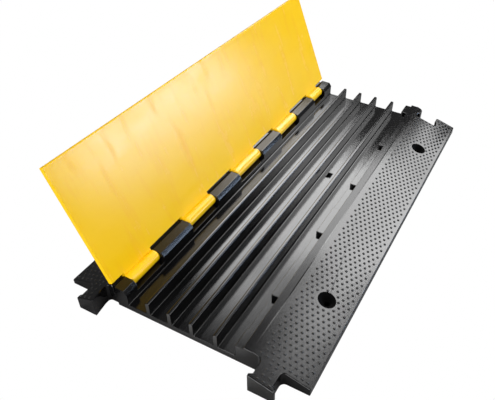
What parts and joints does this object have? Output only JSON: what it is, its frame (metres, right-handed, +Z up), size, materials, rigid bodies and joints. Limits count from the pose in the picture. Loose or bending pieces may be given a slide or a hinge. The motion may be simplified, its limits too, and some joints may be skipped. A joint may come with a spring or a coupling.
{
  "type": "floor cord cover",
  "caption": "Rubber cable ramp for a floor: parallel channels between two studded slopes, under a long hinged plastic lid that stands open, with interlocking tabs and slots at its ends.",
  "frame": {"origin": "middle of the underside between the two end faces, on the floor", "axes": "+Z up, +Y along the ramp from the end with the male tabs to the end with the female slots, +X across it from the hinge side to the latch side"},
  "size_m": [0.5, 0.939, 0.2769],
  "materials": {
    "rubber": "moulded black rubber, half gloss, with fine studs on the slopes",
    "yellow_plastic": "smooth glossy yellow moulded plastic, lightly scuffed",
    "steel": "plain drawn rod"
  },
  "bodies": {
    "base": {"base": "rubber", "hinge_rod": "steel"},
    "lid": {"lid": "yellow_plastic"}
  },
  "joints": [
    {"name": "lid_hinge", "type": "hinge", "parent": "base", "child": "lid", "pos_m": [-0.1364, 0, 0.0383], "axis": [0, 1, 0], "range_deg": [0, 112]}
  ]
}
